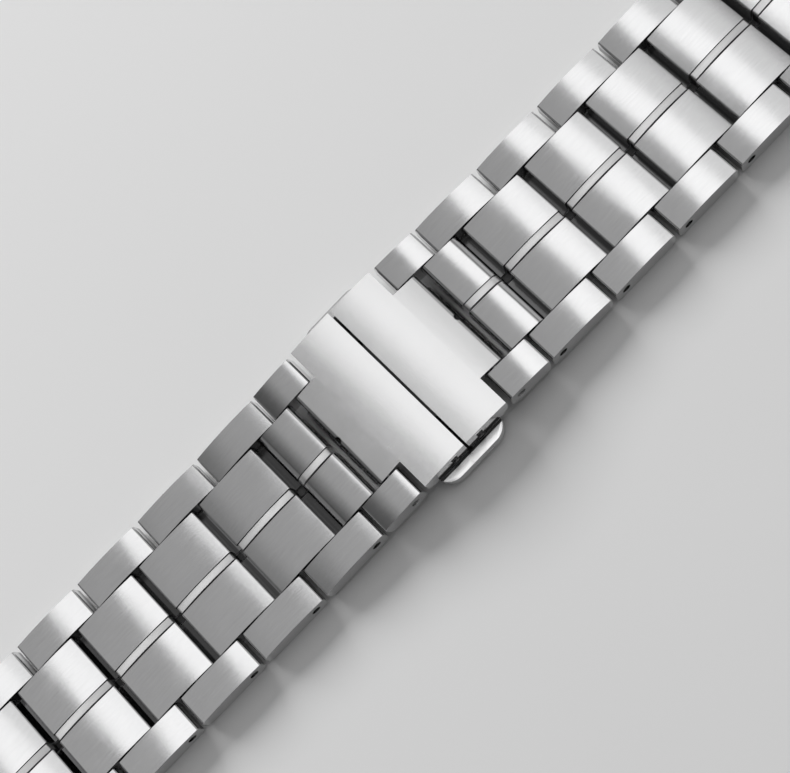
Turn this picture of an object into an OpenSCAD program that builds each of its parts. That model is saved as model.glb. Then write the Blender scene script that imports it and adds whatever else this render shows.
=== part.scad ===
// Steel watch bracelet with a butterfly clasp, closed and lying flat.
// Origin: under the middle of the clasp, at table height. +X runs along the band
// towards strand b, +Y across it and +Z up. Millimetres.

/* [Show] */
// Piece to show, or all

/* [Band] */
// Full width of the band
band_w = 20; // [18:0.5:24]
// Width of one outer link
outer_w = 3.45; // [2.5:0.05:4.5]
// Width of the polished centre strip
strip_w = 0.75; // [0.6:0.05:2]
// Gap between neighbouring pieces across the band
side_gap = 0.15; // [0.1:0.01:0.3]
// Gap each side of the centre strip
strip_gap = 0.15; // [0.1:0.005:0.3]
// Distance from one removable pin to the next
row_step = 9; // [8:0.05:11]
// Full rows in each strand
row_count = 5; // [5:1:5]
// Thickness of a link at the top of its crown
link_t = 3; // [2.4:0.1:4]
// Radius of the crown along the band
crown_r = 28; // [24:1:80]
// Length of an outer link
outer_len = 8.4; // [7.5:0.05:10]
// Outer link's end to its removable pin
pin_inset = 1.4; // [1.2:0.05:1.8]
// Length of a middle link
middle_len = 8.1; // [7:0.05:9.5]
// Start of the middle link after the removable pin
middle_start = 2.05; // [1.9:0.05:3]
// Removable pin to the fixed pin of the same row
fixed_pin_x = 4.6; // [3.8:0.05:5.5]
// How much higher the middle links' underside is than the outer links'
middle_rise = 0.03; // [0:0.01:0.2]
// Radius of the hollow that a middle link turns in at the removable pin
cup_r = 1.65; // [1.6:0.05:1.8]
// Start of the thin lip under that hollow, after the removable pin
lip_start = 1.05; // [0.9:0.05:1.4]
// Top of the lip, below the pin's middle
lip_drop = 0.95; // [0:0.05:1]
// Rounding of the outer links' lower ends
outer_low_r = 0.95; // [0.3:0.05:1]
// Rounding of the outer links' upper ends
outer_up_r = 0.25; // [0.1:0.05:0.6]
// Rounding of the middle links' upper ends
middle_up_r = 0.25; // [0.1:0.05:0.6]
// How far the centre strip stands above its neighbours
strip_rise = 0.15; // [0:0.01:0.3]
// Radius of the centre strip's crown
strip_crown_r = 19; // [16:1:40]
// How much shorter the centre strip is at each end
strip_inset = 0.15; // [0:0.05:0.4]

/* [Short row] */
// Distance between the pins of the short row beside the clasp
short_step = 5.9; // [5.5:0.05:8]
// Length of its outer links
short_outer_len = 5.4; // [5:0.05:7]
// Their end to the tongue pin
short_inset = 1.35; // [1.2:0.05:1.8]
// Start of its middle link after the tongue pin
short_middle_start = 2.05; // [1.9:0.05:3]
// Length of its middle link
short_middle_len = 5; // [4.5:0.05:6.5]
// Its fixed pin after the tongue pin
short_fixed_x = 3.1; // [2.8:0.05:4]
// Rounding of its middle link's upper end beside the clasp
short_near_r = 0.4; // [0.2:0.05:1]
// Rounding of the other upper end
short_far_r = 1.1; // [0.3:0.05:1.3]
// Rounding that clears the blade hinge as the row folds under
short_low_r = 1.3; // [1:0.05:1.35]

/* [Pins] */
// Radius of the link pins
pin_r = 0.5; // [0.4:0.05:0.7]
// How far the removable pins sit below the sides
pin_recess = 0.6; // [0.2:0.05:1]
// Radial clearance of a pin in the piece that turns on it
run_clear = 0.04; // [0.01:0.01:0.08]
// Radial clearance of a pin in the piece that holds it
hold_clear = 0.01; // [0.005:0.005:0.02]

/* [Rest pose] */
// Slope of the short rows as the band lies
short_slope = 6.5; // [0:0.5:12]
// Slope of the first full rows
first_slope = 3.5; // [0:0.5:8]

/* [Clasp covers] */
// Height of the covers' crest over the table
crest_z = 4.9; // [4.6:0.05:6]
// Radius of the covers' crown
cover_r = 45.5; // [35:0.5:80]
// Gap where the two covers meet
split_gap = 0.3; // [0.2:0.05:0.6]
// End of the full-width part
cover_len = 5.75; // [5.6:0.05:6.3]
// Tongue pin's distance past the full-width part
tongue_past = 1.85; // [1.6:0.05:2.4]
// Radius of the tongue's round end
tongue_r = 1.15; // [1:0.05:1.2]
// Thickness of the covers' roof
roof_t = 0.95; // [0.8:0.05:1]
// Thickness of the covers' side walls
wall_t = 1.1; // [0.9:0.05:1.5]
// Height of the side walls' lower edge
skirt_z = 2.15; // [2.05:0.05:2.2]
// Rounding of the side walls' lower corners beside the split
split_low_r = 0.8; // [0.3:0.05:1]
// Rounding of their lower corners at the other end
far_low_r = 1.1; // [0.3:0.05:1.3]
// Radius of the half-round notch in the tongue's edge
notch_r = 0.4; // [0.2:0.05:0.5]

/* [Clasp blades and plate] */
// Blade hinge's distance past the tongue pin
hinge_past = 0.95; // [0.75:0.05:1.55]
// Radius of the blade hinge's barrels
barrel_r = 0.75; // [0.7:0.05:0.8]
// Radius of the blade hinge pins
hinge_pin_r = 0.4; // [0.3:0.05:0.45]
// Cover hinge's distance from the middle
cover_pin_x = 1.8; // [1.75:0.05:2.2]
// Height of the cover hinge
cover_pin_z = 2.85; // [2.8:0.05:2.9]
// Radius of the blades' knuckles at the cover hinge
knuckle_r = 0.95; // [0.9:0.05:1]
// Thickness of a blade
blade_t = 0.7; // [0.5:0.05:0.8]
// Space from a blade to each side of the band
blade_side = 4.6; // [4.5:0.1:5.5]
// How much wider the centre plate is than a blade
plate_extra = 0.4; // [0:0.1:1]
// Thickness of the centre plate
plate_t = 0.6; // [0.5:0.05:0.7]
// Top of the centre plate at its middle
plate_top = 0.9; // [0.85:0.05:0.9]
// Radius of the centre plate's bow
plate_r = 100; // [90:5:200]
// Width of the plate's tongue in the blade hinge
plate_tongue_w = 6; // [5:0.1:7]

/* [Push buttons] */
// Length of a button along the band
button_len = 9; // [7:0.1:10]
// Thickness of a button out from the band
button_t = 1.25; // [1:0.05:1.5]
// Height of a button
button_h = 1.6; // [1.2:0.1:1.6]
// Height of a button's top over the table
button_top = 1.95; // [1.9:0.05:2]
// How far a button's inner face stands outside the band
button_gap = 0.05; // [0.05:0.05:0.8]
// Rounding of a button's ends
button_r = 2; // [1:0.1:3]
// How far a button can be pressed
button_travel = 0.5; // [0.3:0.05:0.5]
// Radius of a button's stem
stem_r = 0.4; // [0.35:0.05:0.4]
// Inner end of a button's stem
stem_end = 1.6; // [1.2:0.1:2.5]
// Half width of the lock block
block_half = 0.7; // [0.65:0.01:0.72]
// Space from the lock block's ends to the plate's sides
block_side = 0.1; // [0.05:0.05:0.5]
// Top of the lock block
block_top = 3.3; // [3.2:0.05:3.5]
// How far a stem's axis is below its button's top
stem_drop = 0.45; // [0.4:0.05:0.5]
// Half width of the button's hook
hook_half = 1.1; // [0.9:0.05:1.15]

/* [End links] */
// Length of an end link past its pin
end_len = 8; // [7:0.1:10]
// Spring bar's distance past that pin
bar_x = 6.3; // [5.5:0.1:8]
// Radius of the spring bar's tube
bar_r = 0.9; // [0.85:0.05:0.95]
// Half length of the tube
bar_half = 9.2; // [8.5:0.1:9.5]
// Radius of a tip's nose
tip_r = 0.4; // [0.35:0.05:0.4]
// How much thicker the tip's shaft is than its nose, each way
shaft_step = 0.22; // [0.2:0.01:0.22]
// How far a tip stands out of the end link
tip_out = 0.8; // [0.6:0.05:1]

/* [Hidden] */
fine = 96;
half_t = link_t / 2;
half_w = band_w / 2;
outer_in = half_w - outer_w;
middle_half = outer_in - side_gap;
strip_half = strip_w / 2;
tongue_half = outer_in - 0.2;
tongue_pin_x = cover_len + tongue_past;
hinge_x = tongue_pin_x + hinge_past;
blade_w = band_w - 2 * blade_side;
plate_w = blade_w + plate_extra;
block_y = plate_w / 2 - block_side;
crest_drop = crest_z - cover_r;
tongue_pin_z = half_t + row_step * sin(first_slope) + short_step * sin(short_slope);
tongue_end = tongue_pin_x + tongue_r;
first_x = tongue_pin_x + short_step * cos(short_slope);
first_z = tongue_pin_z - short_step * sin(short_slope);
flat_x = first_x + row_step * cos(first_slope);
bar_z = 0;
stem_z = button_top - stem_drop;
blade_run = hinge_x - cover_pin_x;
blade_len = sqrt(blade_run * blade_run + (cover_pin_z - barrel_r) * (cover_pin_z - barrel_r));
blade_tilt = atan2(cover_pin_z - barrel_r, blade_run);
leg_len = 1.75;
leg_in = plate_tongue_w / 2 + 0.2;
plate_edge = hinge_x - 1.6;
plate_reach = hinge_x - barrel_r + 0.12;
chamber_wall = 0.3;
shaft_r = tip_r + shaft_step;
collar_r = shaft_r + 0.1;
nose_start = half_w;
tube_bore = collar_r + run_clear;

// Helpers

// A drawing in X and Z, pulled from y_low to y_high.
module slab(y_low, y_high) {
    translate([0, y_high, 0]) {
        rotate([90, 0, 0]) {
            linear_extrude(height = y_high - y_low) children();
        }
    }
}

// The same piece on both sides of the band.
module both_sides() {
    children();
    mirror([0, 1, 0]) children();
}

// A rod across the band.
module rod(x, z, r, y_low, y_high) {
    translate([x, y_high, z]) {
        rotate([90, 0, 0]) cylinder(r = r, h = y_high - y_low, $fn = fine);
    }
}

// Corner under a crowned top: the round's centre lies on a circle inside the crown.
function corner_at(x, mid, r, crown, top) = [
    x,
    top - crown + sqrt((crown - r) * (crown - r) - (x - mid) * (x - mid))
];

module upper_corner_cut(c, mid, r, crown, top, way) {
    u = [(c[0] - mid) / (crown - r), (c[1] - top + crown) / (crown - r)];
    polygon([
        c,
        [c[0] + 3 * r * u[0], c[1] + 3 * r * u[1]],
        [c[0] + way * 3 * r, c[1] + 3 * r],
        [c[0] + way * 3 * r, c[1]]
    ]);
}

// Side view of a link: crowned top, flat underside, four rounded corners.
module link_side(x0, x1, low, top, crown, up_near, up_far, low_near, low_far) {
    mid = (x0 + x1) / 2;
    near = corner_at(x0 + up_near, mid, up_near, crown, top);
    far = corner_at(x1 - up_far, mid, up_far, crown, top);
    difference() {
        intersection() {
            translate([mid, top - crown]) circle(r = crown, $fn = fine);
            translate([x0, low]) square([x1 - x0, top - low]);
        }
        upper_corner_cut(near, mid, up_near, crown, top, -1);
        upper_corner_cut(far, mid, up_far, crown, top, 1);
        translate([x0 - 1, low - 1]) square([1 + low_near, 1 + low_near]);
        translate([x1 - low_far, low - 1]) square([1 + low_far, 1 + low_far]);
    }
    translate(near) circle(r = up_near, $fn = fine);
    translate(far) circle(r = up_far, $fn = fine);
    translate([x0 + low_near, low + low_near]) circle(r = low_near, $fn = fine);
    translate([x1 - low_far, low + low_far]) circle(r = low_far, $fn = fine);
}

// Mirror a piece into strand a when way is -1.
module on_side(way) {
    if (way < 0) {
        mirror([1, 0, 0]) children();
    } else {
        children();
    }
}

// Place a row by its pin's number, counted from the clasp.
module row_place(way, n) {
    x = n == 0 ? tongue_pin_x : n == 1 ? first_x : flat_x + (n - 2) * row_step;
    z = n == 0 ? tongue_pin_z : n == 1 ? first_z : half_t;
    slope = n == 0 ? short_slope : n == 1 ? first_slope : 0;
    on_side(way) {
        translate([x, 0, z]) rotate([0, slope, 0]) children();
    }
}

// Rows

module outer_pair(start, length, fixed_x) {
    both_sides() {
        difference() {
            slab(outer_in, half_w) {
                link_side(start, start + length, -half_t, half_t, crown_r,
                    outer_up_r, outer_up_r, outer_low_r, outer_low_r);
            }
            rod(0, 0, pin_r + hold_clear, outer_in - 1, half_w + 1);
            rod(fixed_x, 0, pin_r + hold_clear, outer_in - 1, half_w - 0.95);
        }
    }
}

module middle_side() {
    link_side(middle_start, middle_start + middle_len, middle_rise - half_t, half_t, crown_r,
        0.2, middle_up_r, 0.5, 1);
    lip_side();
}

module strip_side() {
    link_side(middle_start + strip_inset, middle_start + middle_len - strip_inset,
        middle_rise - half_t, half_t + strip_rise, strip_crown_r,
        0.2, middle_up_r, 0.5, 1);
    lip_side();
}

// Hollow near end: it turns round the row before it and closes the gap from below.
module lip_side() {
    difference() {
        translate([lip_start, middle_rise - half_t]) {
            square([middle_start + 0.6 - lip_start, half_t - middle_rise - lip_drop]);
        }
        circle(r = cup_r, $fn = fine);
    }
}

module short_middle_side() {
    link_side(short_middle_start, short_middle_start + short_middle_len,
        middle_rise - half_t, half_t, crown_r, short_near_r, short_far_r, short_low_r, 1);
}

module short_strip_side() {
    link_side(short_middle_start + strip_inset,
        short_middle_start + short_middle_len - strip_inset,
        middle_rise - half_t, half_t + strip_rise, strip_crown_r,
        short_near_r, short_far_r, short_low_r, 1);
}

// Children: side view of the wide pieces, then of the strip.
module middle_trio(fixed_x, next_x) {
    difference() {
        union() {
            slab(-strip_half, strip_half) children(1);
            both_sides() {
                slab(strip_half + strip_gap, middle_half) children(0);
            }
        }
        rod(fixed_x, 0, pin_r + hold_clear, -half_w, half_w);
        rod(next_x, 0, pin_r + run_clear, -half_w, half_w);
    }
}

module pin_pair(fixed_x) {
    rod(0, 0, pin_r, pin_recess - half_w, half_w - pin_recess);
    rod(fixed_x, 0, pin_r, 1 - half_w, half_w - 1);
}

module outer_links(way, n) {
    color([0.72, 0.72, 0.73]) {
        row_place(way, n) outer_pair(-pin_inset, outer_len, fixed_pin_x);
    }
}

module middle_link(way, n) {
    color([0.74, 0.74, 0.75]) {
        row_place(way, n) {
            middle_trio(fixed_pin_x, row_step) {
                middle_side();
                strip_side();
            }
        }
    }
}

module link_pins(way, n) {
    color([0.6, 0.6, 0.61]) row_place(way, n) pin_pair(fixed_pin_x);
}

module short_outer_links(way) {
    color([0.72, 0.72, 0.73]) {
        row_place(way, 0) outer_pair(-short_inset, short_outer_len, short_fixed_x);
    }
}

module short_middle_link(way) {
    color([0.74, 0.74, 0.75]) {
        row_place(way, 0) {
            middle_trio(short_fixed_x, short_step) {
                short_middle_side();
                short_strip_side();
            }
        }
    }
}

module short_link_pins(way) {
    color([0.6, 0.6, 0.61]) row_place(way, 0) pin_pair(short_fixed_x);
}

// End links and spring bars

module end_side(start) {
    link_side(start, end_len, -half_t, half_t, crown_r, outer_up_r, 1.2, outer_low_r, 1.2);
}

module end_link(way) {
    color([0.72, 0.72, 0.73]) {
        row_place(way, row_count + 1) {
            difference() {
                union() {
                    both_sides() {
                        slab(outer_in, half_w) {
                            intersection() {
                                end_side(-pin_inset);
                                translate([-end_len, -link_t]) {
                                    square([end_len + middle_start + 0.5, 2 * link_t]);
                                }
                            }
                        }
                    }
                    slab(-half_w, half_w) {
                        intersection() {
                            end_side(-pin_inset);
                            translate([middle_start, -link_t]) square([end_len, 2 * link_t]);
                        }
                    }
                    slab(-middle_half, middle_half) lip_side();
                }
                rod(0, 0, pin_r + hold_clear, -half_w - 1, half_w + 1);
                rod(bar_x, bar_z, bar_r + hold_clear, -half_w - 1, half_w + 1);
            }
        }
    }
}

module end_link_pin(way) {
    color([0.6, 0.6, 0.61]) {
        row_place(way, row_count + 1) {
            rod(0, 0, pin_r, pin_recess - half_w, half_w - pin_recess);
        }
    }
}

module spring_bar(way) {
    color([0.6, 0.6, 0.61]) {
        row_place(way, row_count + 1) {
            difference() {
                rod(bar_x, bar_z, bar_r, -bar_half, bar_half);
                rod(bar_x, bar_z, tube_bore, chamber_wall - bar_half, bar_half - chamber_wall);
                rod(bar_x, bar_z, shaft_r + run_clear, -half_w, half_w);
            }
        }
    }
}

module bar_tip(way, side) {
    collar_end = bar_half - chamber_wall - 0.02;
    color([0.78, 0.78, 0.79]) {
        row_place(way, row_count + 1) {
            scale_y(side) {
                rod(bar_x, bar_z, shaft_r, collar_end - 1.2, nose_start);
                rod(bar_x, bar_z, tip_r, nose_start, half_w + tip_out - 0.15);
                translate([bar_x, half_w + tip_out - 0.15, bar_z]) {
                    rotate([-90, 0, 0]) {
                        cylinder(r1 = tip_r, r2 = tip_r - 0.12, h = 0.15, $fn = fine);
                    }
                }
                rod(bar_x, bar_z, collar_r, collar_end - 0.6, collar_end);
            }
        }
    }
}

module scale_y(side) {
    if (side < 0) {
        mirror([0, 1, 0]) children();
    } else {
        children();
    }
}

module bar_spring(way) {
    reach = bar_half - chamber_wall - 0.02 - 1.2;
    color([0.5, 0.5, 0.5]) {
        row_place(way, row_count + 1) {
            difference() {
                rod(bar_x, bar_z, collar_r, -reach, reach);
                rod(bar_x, bar_z, collar_r - 0.2, -reach - 1, reach + 1);
            }
        }
    }
}

// Clasp

module centre_plate() {
    color([0.78, 0.78, 0.79]) {
        difference() {
            union() {
                slab(-plate_w / 2, plate_w / 2) {
                    intersection() {
                        plate_bow();
                        translate([-plate_edge, -1]) square([2 * plate_edge, 3]);
                    }
                }
                slab(-plate_tongue_w / 2, plate_tongue_w / 2) {
                    intersection() {
                        plate_bow();
                        translate([-plate_reach, -1]) square([2 * plate_reach, 3]);
                    }
                }
                for (way = [-1, 1]) {
                    rod(way * hinge_x, barrel_r, barrel_r,
                        -plate_tongue_w / 2, plate_tongue_w / 2);
                }
            }
            for (way = [-1, 1]) {
                rod(way * hinge_x, barrel_r, hinge_pin_r + hold_clear, -plate_w, plate_w);
            }
        }
    }
}

module plate_bow() {
    difference() {
        translate([0, plate_top - plate_r]) circle(r = plate_r, $fn = fine);
        translate([0, plate_top - plate_r]) circle(r = plate_r - plate_t, $fn = fine);
    }
}

module plate_hinge_pins() {
    color([0.6, 0.6, 0.61]) {
        for (way = [-1, 1]) {
            rod(way * hinge_x, barrel_r, hinge_pin_r, 0.1 - blade_w / 2, blade_w / 2 - 0.1);
        }
    }
}

module lock_block() {
    color([0.7, 0.7, 0.71]) {
        difference() {
            translate([-block_half, -block_y, plate_top]) {
                cube([2 * block_half, 2 * block_y, block_top - plate_top]);
            }
            rod(0, stem_z, stem_r + run_clear, -block_y - 1, block_y + 1);
        }
    }
}

module blade(way) {
    color([0.76, 0.76, 0.77]) {
        on_side(way) {
            difference() {
                union() {
                    slab(-blade_w / 2, blade_w / 2) {
                        translate([hinge_x, barrel_r]) rotate(180 - blade_tilt) {
                            translate([leg_len, -blade_t / 2]) {
                                square([blade_len - leg_len, blade_t]);
                            }
                        }
                    }
                    both_sides() {
                        slab(leg_in, blade_w / 2) {
                            translate([hinge_x, barrel_r]) {
                                circle(r = barrel_r, $fn = fine);
                                rotate(180 - blade_tilt) {
                                    translate([0, -blade_t / 2]) {
                                        square([leg_len + 0.5, blade_t]);
                                    }
                                }
                            }
                        }
                    }
                    rod(cover_pin_x, cover_pin_z, knuckle_r, -blade_w / 2, blade_w / 2);
                }
                rod(hinge_x, barrel_r, hinge_pin_r + run_clear, -half_w, half_w);
                rod(cover_pin_x, cover_pin_z, pin_r + run_clear, -half_w, half_w);
            }
        }
    }
}

module cover_pin(way) {
    color([0.6, 0.6, 0.61]) {
        on_side(way) rod(cover_pin_x, cover_pin_z, pin_r, 0.5 - half_w, half_w - 0.5);
    }
}

module cover_roof(x0, x1, low) {
    intersection() {
        translate([0, crest_drop]) circle(r = cover_r, $fn = fine);
        translate([x0, low]) square([x1 - x0, crest_z - low]);
    }
}

module tongue_side() {
    corner = corner_at(tongue_end - 0.5, 0, 0.5, cover_r, crest_z);
    difference() {
        cover_roof(cover_len - 0.7, tongue_end, tongue_pin_z);
        upper_corner_cut(corner, 0, 0.5, cover_r, crest_z, 1);
    }
    translate(corner) circle(r = 0.5, $fn = fine);
    translate([tongue_pin_x, tongue_pin_z]) circle(r = tongue_r, $fn = fine);
}

module cover(way) {
    color([0.85, 0.85, 0.86]) {
        on_side(way) {
            difference() {
                union() {
                    slab(-half_w, half_w) {
                        difference() {
                            cover_roof(split_gap / 2, cover_len, skirt_z);
                            translate([cover_len - far_low_r, skirt_z - 1]) {
                                square([far_low_r + 1, far_low_r + 1]);
                            }
                            translate([split_gap / 2 - 1, skirt_z - 1]) {
                                square([split_low_r + 1, split_low_r + 1]);
                            }
                        }
                        translate([cover_len - far_low_r, skirt_z + far_low_r]) {
                            circle(r = far_low_r, $fn = fine);
                        }
                        translate([split_gap / 2 + split_low_r, skirt_z + split_low_r]) {
                            circle(r = split_low_r, $fn = fine);
                        }
                    }
                    slab(-tongue_half, tongue_half) tongue_side();
                }
                // Hollow for the blade
                slab(wall_t - half_w, half_w - wall_t) {
                    intersection() {
                        translate([0, crest_drop]) circle(r = cover_r - roof_t, $fn = fine);
                        translate([-1, 0]) square([cover_len + 0.3, crest_z]);
                    }
                }
                // Way out for the blade under the tongue
                translate([0, -blade_w / 2 - 0.3, 0]) {
                    cube([cover_len + 0.1, blade_w + 0.6, tongue_pin_z - 0.35]);
                }
                rod(cover_pin_x, cover_pin_z, pin_r + hold_clear, -half_w - 1, half_w + 1);
                rod(tongue_pin_x, tongue_pin_z, pin_r + run_clear, -half_w - 1, half_w + 1);
                translate([tongue_end, 0, tongue_pin_z + 0.7]) {
                    cylinder(r = notch_r, h = 3, $fn = fine);
                }
            }
        }
    }
}

module push_button(side) {
    inner = half_w + button_gap;
    color([0.9, 0.9, 0.91]) {
        scale_y(side) {
            translate([0, inner, button_top - button_h]) {
                linear_extrude(height = button_h) {
                    translate([button_r - button_len / 2, 0]) {
                        square([button_len - 2 * button_r, button_t]);
                    }
                    for (way = [-1, 1]) {
                        intersection() {
                            translate([way * (button_len / 2 - button_r), button_t - button_r]) {
                                circle(r = button_r, $fn = fine);
                            }
                            translate([-button_len, 0]) square([2 * button_len, button_t]);
                        }
                    }
                }
            }
            rod(0, stem_z, stem_r, stem_end, inner + 0.1);
            translate([-hook_half, block_y + button_travel + 0.15, stem_z - 0.3]) {
                cube([2 * hook_half, 1, cover_pin_z + 0.8 - stem_z]);
            }
        }
    }
}

module button_spring() {
    color([0.5, 0.5, 0.5]) {
        difference() {
            rod(0, stem_z, stem_r - 0.03, -stem_end, stem_end);
            rod(0, stem_z, stem_r - 0.2, -stem_end - 1, stem_end + 1);
        }
    }
}

centre_plate();
lock_block();
plate_hinge_pins();
blade(-1);  // blade_a
blade(1);  // blade_b
cover_pin(-1);  // cover_pin_a
cover_pin(1);  // cover_pin_b
cover(-1);  // cover_a
cover(1);  // cover_b
push_button(1);  // push_button_left
push_button(-1);  // push_button_right
button_spring();

short_outer_links(-1);  // short_outer_links_a
short_middle_link(-1);  // short_middle_link_a
short_link_pins(-1);  // short_link_pins_a
short_outer_links(1);  // short_outer_links_b
short_middle_link(1);  // short_middle_link_b
short_link_pins(1);  // short_link_pins_b

outer_links(-1, 1);  // outer_links_a1
middle_link(-1, 1);  // middle_link_a1
link_pins(-1, 1);  // link_pins_a1
outer_links(-1, 2);  // outer_links_a2
middle_link(-1, 2);  // middle_link_a2
link_pins(-1, 2);  // link_pins_a2
outer_links(-1, 3);  // outer_links_a3
middle_link(-1, 3);  // middle_link_a3
link_pins(-1, 3);  // link_pins_a3
outer_links(-1, 4);  // outer_links_a4
middle_link(-1, 4);  // middle_link_a4
link_pins(-1, 4);  // link_pins_a4
outer_links(-1, 5);  // outer_links_a5
middle_link(-1, 5);  // middle_link_a5
link_pins(-1, 5);  // link_pins_a5

outer_links(1, 1);  // outer_links_b1
middle_link(1, 1);  // middle_link_b1
link_pins(1, 1);  // link_pins_b1
outer_links(1, 2);  // outer_links_b2
middle_link(1, 2);  // middle_link_b2
link_pins(1, 2);  // link_pins_b2
outer_links(1, 3);  // outer_links_b3
middle_link(1, 3);  // middle_link_b3
link_pins(1, 3);  // link_pins_b3
outer_links(1, 4);  // outer_links_b4
middle_link(1, 4);  // middle_link_b4
link_pins(1, 4);  // link_pins_b4
outer_links(1, 5);  // outer_links_b5
middle_link(1, 5);  // middle_link_b5
link_pins(1, 5);  // link_pins_b5

end_link(-1);  // end_link_a
end_link_pin(-1);  // end_link_pin_a
spring_bar(-1);  // spring_bar_a
bar_spring(-1);  // bar_spring_a
bar_tip(-1, 1);  // bar_tip_a_left
bar_tip(-1, -1);  // bar_tip_a_right
end_link(1);  // end_link_b
end_link_pin(1);  // end_link_pin_b
spring_bar(1);  // spring_bar_b
bar_spring(1);  // bar_spring_b
bar_tip(1, 1);  // bar_tip_b_left
bar_tip(1, -1);  // bar_tip_b_right
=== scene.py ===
import math
import bpy
from mathutils import Matrix, Vector

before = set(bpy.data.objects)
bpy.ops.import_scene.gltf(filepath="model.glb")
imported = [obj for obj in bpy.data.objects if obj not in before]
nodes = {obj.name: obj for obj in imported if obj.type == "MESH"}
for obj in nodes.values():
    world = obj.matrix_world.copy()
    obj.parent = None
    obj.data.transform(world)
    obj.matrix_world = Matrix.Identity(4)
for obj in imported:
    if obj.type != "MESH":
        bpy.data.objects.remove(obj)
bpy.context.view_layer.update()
mm = 0.001

print("frame loaded:", len(nodes), "pieces")


# Shader helpers

noiseMiddle = 0.5  # noise swings about this, and a bump this high is flat


class Value:  # a shader socket that can be used in sums
    def __init__(self, nodeTree, socket):
        self.tree = nodeTree
        self.socket = socket

    def math(self, operation, *others):
        return addNode(self.tree, "ShaderNodeMath", {"operation": operation}, [self, *others])

    def __add__(self, other):
        return self.math("ADD", other)

    def __sub__(self, other):
        return self.math("SUBTRACT", other)

    def __rsub__(self, other):
        return addNode(self.tree, "ShaderNodeMath", {"operation": "SUBTRACT"}, [other, self])

    def __mul__(self, other):
        return self.math("MULTIPLY", other)

    def __abs__(self):
        return self.math("ABSOLUTE")

    def clamped(self, low, high):  # 0 at low, 1 at high, straight between
        settings = {"clamp": True}
        return addNode(self.tree, "ShaderNodeMapRange", settings, [self, low, high, 0, 1])

    def near(self, centre, reach, soft):  # 1 within reach of centre, 0 beyond reach + soft
        return 1 - abs(self - centre).clamped(reach, reach + soft)

    def swing(self, amount):  # noise as a change up and down, amount between its ends
        return (self - noiseMiddle) * amount

    __radd__ = __add__
    __rmul__ = __mul__


def addNode(tree, kind, settings=None, inputs=None, output=0):
    node = tree.nodes.new(kind)
    for name, value in (settings or {}).items():
        if name == "stops":
            for index, (place, colour) in enumerate(value):
                ramp = node.color_ramp.elements
                stop = ramp[index] if index < 2 else ramp.new(place)
                stop.position = place
                stop.color = (*colour, 1)
        else:
            setattr(node, name, value)
    pairs = inputs.items() if isinstance(inputs, dict) else enumerate(inputs or [])
    for key, value in pairs:
        if isinstance(value, Value):
            tree.links.new(value.socket, node.inputs[key])
        elif value is not None:
            node.inputs[key].default_value = value
    return Value(tree, node.outputs[output]) if node.outputs else None


def mixNumber(tree, mask, low, high):  # low where the mask is 0, high where it is 1
    return addNode(tree, "ShaderNodeMix", {"data_type": "FLOAT"}, {0: mask, 2: low, 3: high})


def splitVector(tree, vector):
    outputs = addNode(tree, "ShaderNodeSeparateXYZ", None, [vector]).socket.node.outputs
    return [Value(tree, outputs[axis]) for axis in range(3)]


class Surface:  # places on a piece in millimetres, and its rest normal
    def __init__(self, tree):
        self.tree = tree
        place = addNode(tree, "ShaderNodeTexCoord", output="Object")
        self.normal = addNode(tree, "ShaderNodeTexCoord", output="Normal")
        settings = {"operation": "SCALE"}
        self.place = addNode(tree, "ShaderNodeVectorMath", settings, {0: place, "Scale": 1 / mm})
        self.x, self.y, self.z = splitVector(tree, self.place)
        self.nx, self.ny, self.nz = splitVector(tree, self.normal)

    def noise(self, scales, detail=2, roughness=0.5, shift=(0, 0, 0)):
        settings = {"operation": "MULTIPLY_ADD"}
        place = addNode(self.tree, "ShaderNodeVectorMath", settings, [self.place, scales, shift])
        values = {"Vector": place, "Scale": 1, "Detail": detail, "Roughness": roughness}
        return addNode(self.tree, "ShaderNodeTexNoise", {"noise_dimensions": "3D"}, values)

    def leaning(self, lean):  # the normal, leaned along the band by so many radians
        axis = addNode(self.tree, "ShaderNodeCombineXYZ", None, [lean, 0, 0])
        leaned = addNode(self.tree, "ShaderNodeVectorMath", {"operation": "ADD"}, [self.normal, axis])
        settings = {"vector_type": "NORMAL", "convert_from": "OBJECT", "convert_to": "WORLD"}
        return addNode(self.tree, "ShaderNodeVectorTransform", settings, [leaned])

    def bump(self, height, millimetres, normal=None):
        values = {"Strength": 1, "Distance": millimetres * mm, "Height": height, "Normal": normal}
        return addNode(self.tree, "ShaderNodeBump", None, values)


def newMaterial(name):
    material = bpy.data.materials.new(name)
    material.use_nodes = True
    tree = material.node_tree
    tree.nodes.clear()
    return material, tree


def finishSurface(tree, tone, blue, roughness, metallic=1.0, normal=None):
    colour = addNode(tree, "ShaderNodeCombineColor", None, [tone, tone, tone * blue])
    values = {"Base Color": colour, "Metallic": metallic, "Roughness": roughness, "Normal": normal}
    shader = addNode(tree, "ShaderNodeBsdfPrincipled", None, values)
    addNode(tree, "ShaderNodeOutputMaterial", None, [shader])


# Brushed steel of the links
# Noise scales are per millimetre here, and heights and places are millimetres
# The grain is long along the band and fine across it

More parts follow.
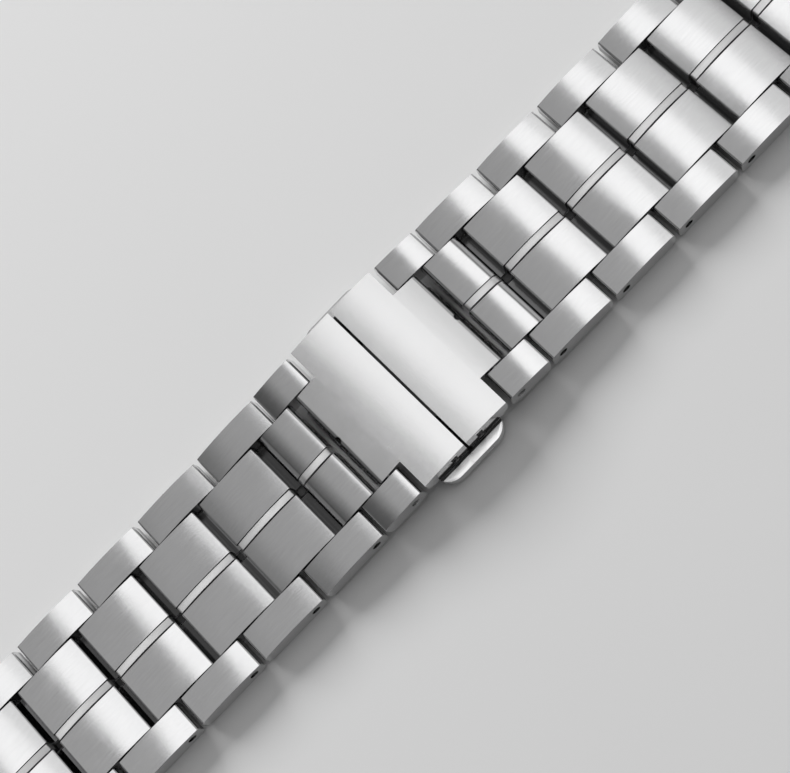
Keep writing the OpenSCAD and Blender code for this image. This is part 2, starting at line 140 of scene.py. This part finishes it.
brushedFinish = {
    "tone": 0.66,
    "toneSpread": 0.15,
    "patchTone": 0.05,
    "blue": 1.006,  # of blue to red and green
    "roughness": 0.15,
    "roughnessSpread": 0.08,
    "patchRoughness": 0.08,
    "sideRoughness": 0.06,  # added on the band's sides
    "sideFacing": (0.72, 0.9),  # a normal's y where a side begins, and where it is fully one
    "grain": {"scales": (0.16, 5.0, 5.0), "detail": 3, "roughness": 0.6},
    "fineGrain": {"scales": (0.7, 14.0, 14.0), "roughness": 0.55, "shift": (7, 3, 1)},
    "patches": {"scales": (0.22, 0.3, 0.3), "shift": (3, 9, 5)},
    "grainShare": 0.55,  # of the coarse grain, the rest is fine grain
    "grainHeight": 0.006,
    "sag": (-17.4, -58, 0.335),  # from, to, and how far the links of strand a lean there
}
stripFinish = {
    "half": 0.45,  # of the centre strip's width
    "edge": 0.02,
    "tone": 1.0,
    "roughness": 0.45,
    "leans": (0.17, 0.08),  # of the centre strips of strand a, then of strand b
    "change": (-1, 1),  # strand a ends and strand b begins
}
# Painted shade: faces low in the gaps between rows get a dark colour, and one stretch of gap floor gets a
# paler one as painted light
gapShade = {
    "heights": (1.9, 2.4),  # what faces a gap turns dark from the upper height to the lower one
    "tone": 0.13,
    "floorTone": 0.10,  # of what faces up at the bottom of a gap
    "floorFacing": (0.5, 0.9),
    "sideFacing": (0.5, 0.8),  # the band's sides face no gap
    "belowFacing": (-0.6, -0.2),  # nor does its underside
    "bandEnds": (61.0, 61.3),  # nor do the outer ends of the end links
    "paleFloor": (-23.85, 0.2, 0.05),  # middle, reach and soft edge of a paler floor, painted light in one gap
    "paler": 0.17,
    "sunken": (-15, -60, 0.9),  # from, to, and how much lower the gaps of strand a darken there
}

# The rows whose shading leans, in millimetres from the clasp's middle outwards
# Each lean is followed by the extra crown of its links, the short row's first
outerRows = {
    "shortRow": (8.95, 2.9),  # middle and half length
    "firstRow": (16.3, 4.3),
    "strandA": [(0.05, 0.17), (0.045, 0.02)],
    "strandB": [(-0.08, 0.06), (-0.055, 0)],
}
middleRows = {
    "shortRow": (12.15, 2.6),
    "firstRow": (19.55, 4.2),
    "strandA": [(0.05, 0.17), (0.045, 0.02)],
    "strandB": [(-0.08, 0.06), (-0.055, 0), (0.005, 0), (0.045, 0), (0.03, 0), (0.03, 0)],
}
rowStep = 9.0  # from one full row to the next
rowEdge = 0.1  # a row's lean fades out over this


def rowLeans(surface, rows, sag):
    sagFrom, sagTo, sagLean = sag
    lean = surface.x.clamped(sagFrom, sagTo) * sagLean
    for side, strand in ((1, "strandB"), (-1, "strandA")):
        for row, (ownLean, crown) in enumerate(rows[strand]):
            out, half = rows["firstRow"] if row else rows["shortRow"]
            middle = side * (out + max(row - 1, 0) * rowStep)
            crowned = ownLean + (surface.x - middle) * (crown / half)
            lean = lean + surface.x.near(middle, half, rowEdge) * crowned
    return lean


def shadeGaps(surface, tone, shade):
    notSide = 1 - abs(surface.ny).clamped(*shade["sideFacing"])
    notBelow = surface.nz.clamped(*shade["belowFacing"])
    notEnd = 1 - abs(surface.x).clamped(*shade["bandEnds"])
    sunkFrom, sunkTo, sunk = shade["sunken"]
    height = surface.z + surface.x.clamped(sunkFrom, sunkTo) * sunk
    inGap = notSide * notBelow * notEnd * (1 - height.clamped(*shade["heights"]))
    floor = shade["floorTone"] + surface.x.near(*shade["paleFloor"]) * shade["paler"]
    onFloor = surface.nz.clamped(*shade["floorFacing"])
    dark = mixNumber(surface.tree, onFloor, shade["tone"], floor)
    return mixNumber(surface.tree, inGap, tone, dark)


def brushedSteel(name, finish, rows, strip=None):
    material, tree = newMaterial(name)
    surface = Surface(tree)
    share = finish["grainShare"]
    streak = surface.noise(**finish["grain"]) * share + surface.noise(**finish["fineGrain"]) * (1 - share)
    patches = surface.noise(**finish["patches"])
    tone = finish["tone"] + streak.swing(finish["toneSpread"]) + patches.swing(finish["patchTone"])
    rough = finish["roughness"] + streak.swing(finish["roughnessSpread"])
    rough = rough + patches.swing(finish["patchRoughness"])
    rough = rough + abs(surface.ny).clamped(*finish["sideFacing"]) * finish["sideRoughness"]
    lean = rowLeans(surface, rows, finish["sag"])
    height = streak
    if strip:
        onStrip = surface.y.near(0, strip["half"], strip["edge"])
        tone = mixNumber(tree, onStrip, tone, strip["tone"])
        rough = mixNumber(tree, onStrip, rough, strip["roughness"])
        height = mixNumber(tree, onStrip, height, noiseMiddle)
        towardsB = surface.x.clamped(*strip["change"])
        lean = lean + onStrip * mixNumber(tree, towardsB, *strip["leans"])
    tone = shadeGaps(surface, tone, gapShade)
    normal = surface.bump(height, finish["grainHeight"], surface.leaning(lean))
    finishSurface(tree, tone, finish["blue"], rough, normal=normal)
    return material


# Satin steel of the covers

satinFinish = {
    "tone": 0.72,
    "toneSpread": 0.08,
    "cloudTone": 0.12,
    "blue": 1.004,
    "roughness": 0.24,
    "roughnessSpread": 0.08,
    "cloudRoughness": 0.10,
    "sideFacing": (0.8, 0.95),
    "sideTone": 0.95,  # the covers' sides are polished
    "sideRoughness": 0.07,
    "endFacing": (0.5, 0.8),
    # painted shade of the covers' end walls
    "endWallShade": 0.22,
    "deepShade": 0.02,  # painted shade of the end walls that face each other at the split, and of the notch
    "splitReach": (0.5, 0.6),
    "notch": (8.75, 0.43, 0.42),  # how far out its middle is, where its painted shade ends, where it is full
    "leans": (0.17, 0.05),  # each cover is crowned by itself: cover a, then cover b
    "change": (-0.1, 0.1),  # cover a ends and cover b begins
    "grain": {"scales": (0.5, 14.0, 14.0), "detail": 3, "roughness": 0.6},
    "clouds": {"scales": (0.33, 0.2, 0.3), "detail": 3, "roughness": 0.55, "shift": (1.7, 4.2, 0)},
    "grainHeight": 0.003,
}


def satinSteel(name, finish):
    material, tree = newMaterial(name)
    surface = Surface(tree)
    grain = surface.noise(**finish["grain"])
    clouds = surface.noise(**finish["clouds"])
    onSide = abs(surface.ny).clamped(*finish["sideFacing"])
    tone = finish["tone"] + grain.swing(finish["toneSpread"]) + clouds.swing(finish["cloudTone"])
    tone = mixNumber(tree, onSide, tone, finish["sideTone"])
    out = abs(surface.x)
    # Painted shade: the end walls darken, blackest where they face each other at the split, and the notch
    # is painted black
    endWallShade = mixNumber(tree, out.clamped(*finish["splitReach"]), finish["deepShade"], finish["endWallShade"])
    tone = mixNumber(tree, abs(surface.nx).clamped(*finish["endFacing"]), tone, endWallShade)
    notchPlace, notchWide, notchNarrow = finish["notch"]
    notchX = out - notchPlace
    fromNotch = (notchX * notchX + surface.y * surface.y).math("SQRT")
    tone = mixNumber(tree, fromNotch.clamped(notchWide, notchNarrow), tone, finish["deepShade"])
    rough = finish["roughness"] + grain.swing(finish["roughnessSpread"])
    rough = rough + clouds.swing(finish["cloudRoughness"])
    rough = mixNumber(tree, onSide, rough, finish["sideRoughness"])
    height = mixNumber(tree, onSide, grain, noiseMiddle)
    lean = mixNumber(tree, surface.x.clamped(*finish["change"]), *finish["leans"])
    normal = surface.bump(height, finish["grainHeight"], surface.leaning(lean))
    finishSurface(tree, tone, finish["blue"], rough, normal=normal)
    return material


# Polished steel of the plate, the blades, the bar tips and the push buttons

polishFinish = {
    "tone": 0.82,
    "smudgeTone": 0.05,
    "blue": 1.004,
    "roughness": 0.06,
    "smudgeRoughness": 0.10,
    "smudgeNoise": (0.45, 0.8),  # no smudge below the first, a full one above the second
    "scratchRoughness": 0.04,
    "scratchHeight": 0.0006,
    "smudges": {"scales": (0.6, 0.6, 0.6), "detail": 3, "roughness": 0.6},
    "scratches": {"scales": (0.5, 6.0, 6.0), "shift": (2, 5, 8)},
}
buttonFinish = {**polishFinish, "roughness": 0.22}
buttonShade = {
    "inside": (9.4, 9.5),  # painted shade inside the clasp, up to so far across the band
    "besideCover": (10.3, 10.35),  # and painted shade on top up to here, under the cover's edge
    "upFacing": (0.5, 0.9),
    "tone": 0.04,
    "lean": 0.13,  # of the right button, whose top is bowed a little along the band
    "rightSide": (0, -1),  # y where that lean begins, and where it is full
}


def polishedSteel(name, finish, shade=None):
    material, tree = newMaterial(name)
    surface = Surface(tree)
    smudge = surface.noise(**finish["smudges"])
    scratch = surface.noise(**finish["scratches"])
    tone = finish["tone"] + smudge.swing(finish["smudgeTone"])
    rough = finish["roughness"] + smudge.clamped(*finish["smudgeNoise"]) * finish["smudgeRoughness"]
    rough = rough + scratch.swing(finish["scratchRoughness"])
    leaned = None
    if shade:
        out = abs(surface.y)
        inside = 1 - out.clamped(*shade["inside"])
        beside = surface.nz.clamped(*shade["upFacing"]) * (1 - out.clamped(*shade["besideCover"]))
        # Painted shade where the button lies inside the clasp and under the cover's edge
        tone = mixNumber(tree, inside.math("MAXIMUM", beside), tone, shade["tone"])
        leaned = surface.leaning(surface.y.clamped(*shade["rightSide"]) * shade["lean"])
    normal = surface.bump(scratch, finish["scratchHeight"], leaned)
    finishSurface(tree, tone, finish["blue"], rough, normal=normal)
    return material


# Drawn steel of the pins and springs, and the darker lock block

pinFinish = {
    "tone": 0.34,
    "toneSpread": 0.12,
    "blue": 1.004,
    "roughness": 0.35,
    "roughnessSpread": 0.15,
    "rings": {"scales": (6.0, 0.6, 6.0)},
    "ringHeight": 0.002,
}
blockFinish = {**pinFinish, "tone": 0.12, "roughness": 0.4, "rings": {"scales": (4.0, 0.8, 4.0)}}


def pinSteel(name, finish):
    material, tree = newMaterial(name)
    surface = Surface(tree)
    rings = surface.noise(**finish["rings"])
    tone = finish["tone"] + rings.swing(finish["toneSpread"])
    rough = finish["roughness"] + rings.swing(finish["roughnessSpread"])
    normal = surface.bump(rings, finish["ringHeight"])
    finishSurface(tree, tone, finish["blue"], rough, normal=normal)
    return material


linkSteel = brushedSteel("brushed_link_steel", brushedFinish, outerRows)
middleSteel = brushedSteel("brushed_middle_steel", brushedFinish, middleRows, stripFinish)
coverSteel = satinSteel("satin_cover_steel", satinFinish)
mirrorSteel = polishedSteel("polished_steel", polishFinish)
buttonSteel = polishedSteel("polished_button_steel", buttonFinish, buttonShade)
wireSteel = pinSteel("drawn_pin_steel", pinFinish)
blockSteel = pinSteel("dark_block_steel", blockFinish)

print("finishes made for links, covers, clasp, buttons and pins")


# Pieces: how wide their edges are softened, in millimetres, and their steel

pieceLooks = {
    "outer_links": (0.10, linkSteel),
    "short_outer_links": (0.10, linkSteel),
    "end_link": (0.12, linkSteel),
    "middle_link": (0.09, middleSteel),
    "short_middle_link": (0.09, middleSteel),
    "cover": (0.10, coverSteel),
    "push_button": (0.16, buttonSteel),
    "blade": (0.08, mirrorSteel),
    "centre_plate": (0.08, mirrorSteel),
    "lock_block": (0.08, blockSteel),
    "bar_tip": (0, mirrorSteel),
    "link_pins": (0, wireSteel),
    "short_link_pins": (0, wireSteel),
    "end_link_pin": (0, wireSteel),
    "cover_pin": (0, wireSteel),
    "plate_hinge_pins": (0, wireSteel),
    "spring_bar": (0, wireSteel),
    "bar_spring": (0, wireSteel),
    "button_spring": (0, wireSteel),
}
softening = {
    "weldReach": 0.0015,
    "rounding": 3,  # segments across a softened edge
    "sharpFrom": 38,  # degrees
    "faceWeight": 60,
}


def softenEdges(piece, width):
    for polygon in piece.data.polygons:
        polygon.use_smooth = True
    weld = piece.modifiers.new("weld", "WELD")
    weld.merge_threshold = softening["weldReach"] * mm
    if width:
        bevel = piece.modifiers.new("edges", "BEVEL")
        bevel.width = width * mm
        bevel.segments = softening["rounding"]
        bevel.limit_method = "ANGLE"
        bevel.angle_limit = math.radians(softening["sharpFrom"])
        bevel.miter_outer = "MITER_ARC"
    even = piece.modifiers.new("even", "WEIGHTED_NORMAL")
    even.keep_sharp = True
    even.weight = softening["faceWeight"]


for name, piece in nodes.items():
    stem = max((stem for stem in pieceLooks if name.startswith(stem)), key=len)
    width, material = pieceLooks[stem]
    piece.data.materials.clear()
    piece.data.materials.append(material)
    softenEdges(piece, width)

print("pieces finished:", len(nodes))


# Table

table = {
    "size": 460,  # millimetres, as the drop is
    "drop": 0.02,  # under the band's underside
    "tone": 0.9,
    "toneSpread": 0.03,
    "roughness": 0.55,
    "cloudScale": 9,  # per metre
    "cloudDetail": 3,
}


def tableLacquer():
    material, tree = newMaterial("pale_table")
    place = addNode(tree, "ShaderNodeTexCoord", output="Object")
    values = {"Vector": place, "Scale": table["cloudScale"], "Detail": table["cloudDetail"]}
    cloud = addNode(tree, "ShaderNodeTexNoise", None, values)
    tone = table["tone"] + cloud.swing(table["toneSpread"])
    finishSurface(tree, tone, 1, table["roughness"], metallic=0)
    return material


def makeTable():
    half = table["size"] / 2 * mm
    level = -table["drop"] * mm
    corners = [(-half, -half, level), (half, -half, level), (half, half, level), (-half, half, level)]
    mesh = bpy.data.meshes.new("table_top")
    mesh.from_pydata(corners, [], [(0, 1, 2, 3)])
    mesh.materials.append(tableLacquer())
    top = bpy.data.objects.new("table_top", mesh)
    bpy.context.collection.objects.link(top)


makeTable()
print("table laid")


# Light, in millimetres: a window and its curtain over the band, a soft fill lamp and the studio

panels = {
    "window": {"x": (150, 370), "y": (-100, 700), "height": 900, "brightness": 1.0},
    "curtain": {"x": (370, 620), "y": (-100, 700), "height": 900, "brightness": 0.56},
}
fill = {"place": (-50, 680, 430), "across": 500, "tall": 400, "brightness": 8.5}
studio = {
    # sine of the height over the horizon, and how bright the studio is there
    "glow": [(0.0, 0.50), (0.45, 0.52), (0.72, 0.20), (1.0, 0.50)],
    "nearSide": (-0.5, 0.0),  # y of the direction where it is fully dimmed, and where not at all
    "nearGlow": 0.4,
    "strandSide": (-0.2, -0.46),  # x of the direction where dimming begins, and where it is full
    "strandGlow": 0.4,
}


def addLamp(name, place, turn, across, along, brightness, mirrored=True):
    light = bpy.data.lights.new(name, "AREA")
    light.shape = "RECTANGLE"
    light.size = across * mm
    light.size_y = along * mm
    light.energy = brightness * math.pi * light.size * light.size_y
    lamp = bpy.data.objects.new(name, light)
    lamp.location = Vector(place) * mm
    lamp.rotation_euler = turn
    lamp.visible_camera = False
    lamp.visible_glossy = mirrored
    bpy.context.collection.objects.link(lamp)


def makeLamps():
    for name, panel in panels.items():
        lowX, highX = panel["x"]
        lowY, highY = panel["y"]
        place = ((lowX + highX) / 2, (lowY + highY) / 2, panel["height"])
        addLamp(name, place, (0, 0, 0), highX - lowX, highY - lowY, panel["brightness"])
    towardsBand = -Vector(fill["place"])
    turn = towardsBand.to_track_quat("-Z", "Y").to_euler()
    addLamp("fill", fill["place"], turn, fill["across"], fill["tall"], fill["brightness"], False)


def makeStudio():
    world = bpy.data.worlds.new("studio")
    bpy.context.scene.world = world
    world.use_nodes = True
    tree = world.node_tree
    tree.nodes.clear()
    along, across, rise = splitVector(tree, addNode(tree, "ShaderNodeTexCoord"))
    dimming = mixNumber(tree, across.clamped(*studio["nearSide"]), studio["nearGlow"], 1)
    dimming = dimming * mixNumber(tree, along.clamped(*studio["strandSide"]), 1, studio["strandGlow"])
    stops = [(height, (glow, glow, glow)) for height, glow in studio["glow"]]
    glow = addNode(tree, "ShaderNodeValToRGB", {"stops": stops}, [rise])
    dimmed = addNode(tree, "ShaderNodeVectorMath", {"operation": "SCALE"}, {0: glow, "Scale": dimming})
    background = addNode(tree, "ShaderNodeBackground", None, {"Color": dimmed, "Strength": 1})
    addNode(tree, "ShaderNodeOutputWorld", None, [background])


makeLamps()
makeStudio()
print("lights set:", len(bpy.data.lights))


# Camera

viewpoint = {
    "place": (1.92, -56.33, 176.54),  # millimetres from the middle of the clasp
    "right": (0.6935, -0.6821, -0.2319),
    "down": (-0.7203, -0.663, -0.2039),
    "focalPixels": 1801.0,
    "photoWidth": 790,  # pixels
    "sensorWidth": 36,  # millimetres, as the two limits of sight are
    "nearest": 10,
    "farthest": 10000,
}


def makeCamera():
    right = Vector(viewpoint["right"]).normalized()
    down = Vector(viewpoint["down"])
    down = (down - right * down.dot(right)).normalized()
    forward = right.cross(down)
    lens = bpy.data.cameras.new("camera")
    lens.sensor_width = viewpoint["sensorWidth"]
    lens.lens = viewpoint["focalPixels"] / viewpoint["photoWidth"] * lens.sensor_width
    lens.clip_start = viewpoint["nearest"] * mm
    lens.clip_end = viewpoint["farthest"] * mm
    camera = bpy.data.objects.new("camera", lens)
    turn = Matrix((right, -down, -forward)).transposed().to_4x4()
    camera.matrix_world = Matrix.Translation(Vector(viewpoint["place"]) * mm) @ turn
    bpy.context.collection.objects.link(camera)
    bpy.context.scene.camera = camera


makeCamera()
bpy.context.scene.view_settings.view_transform = "Standard"
print("camera placed")
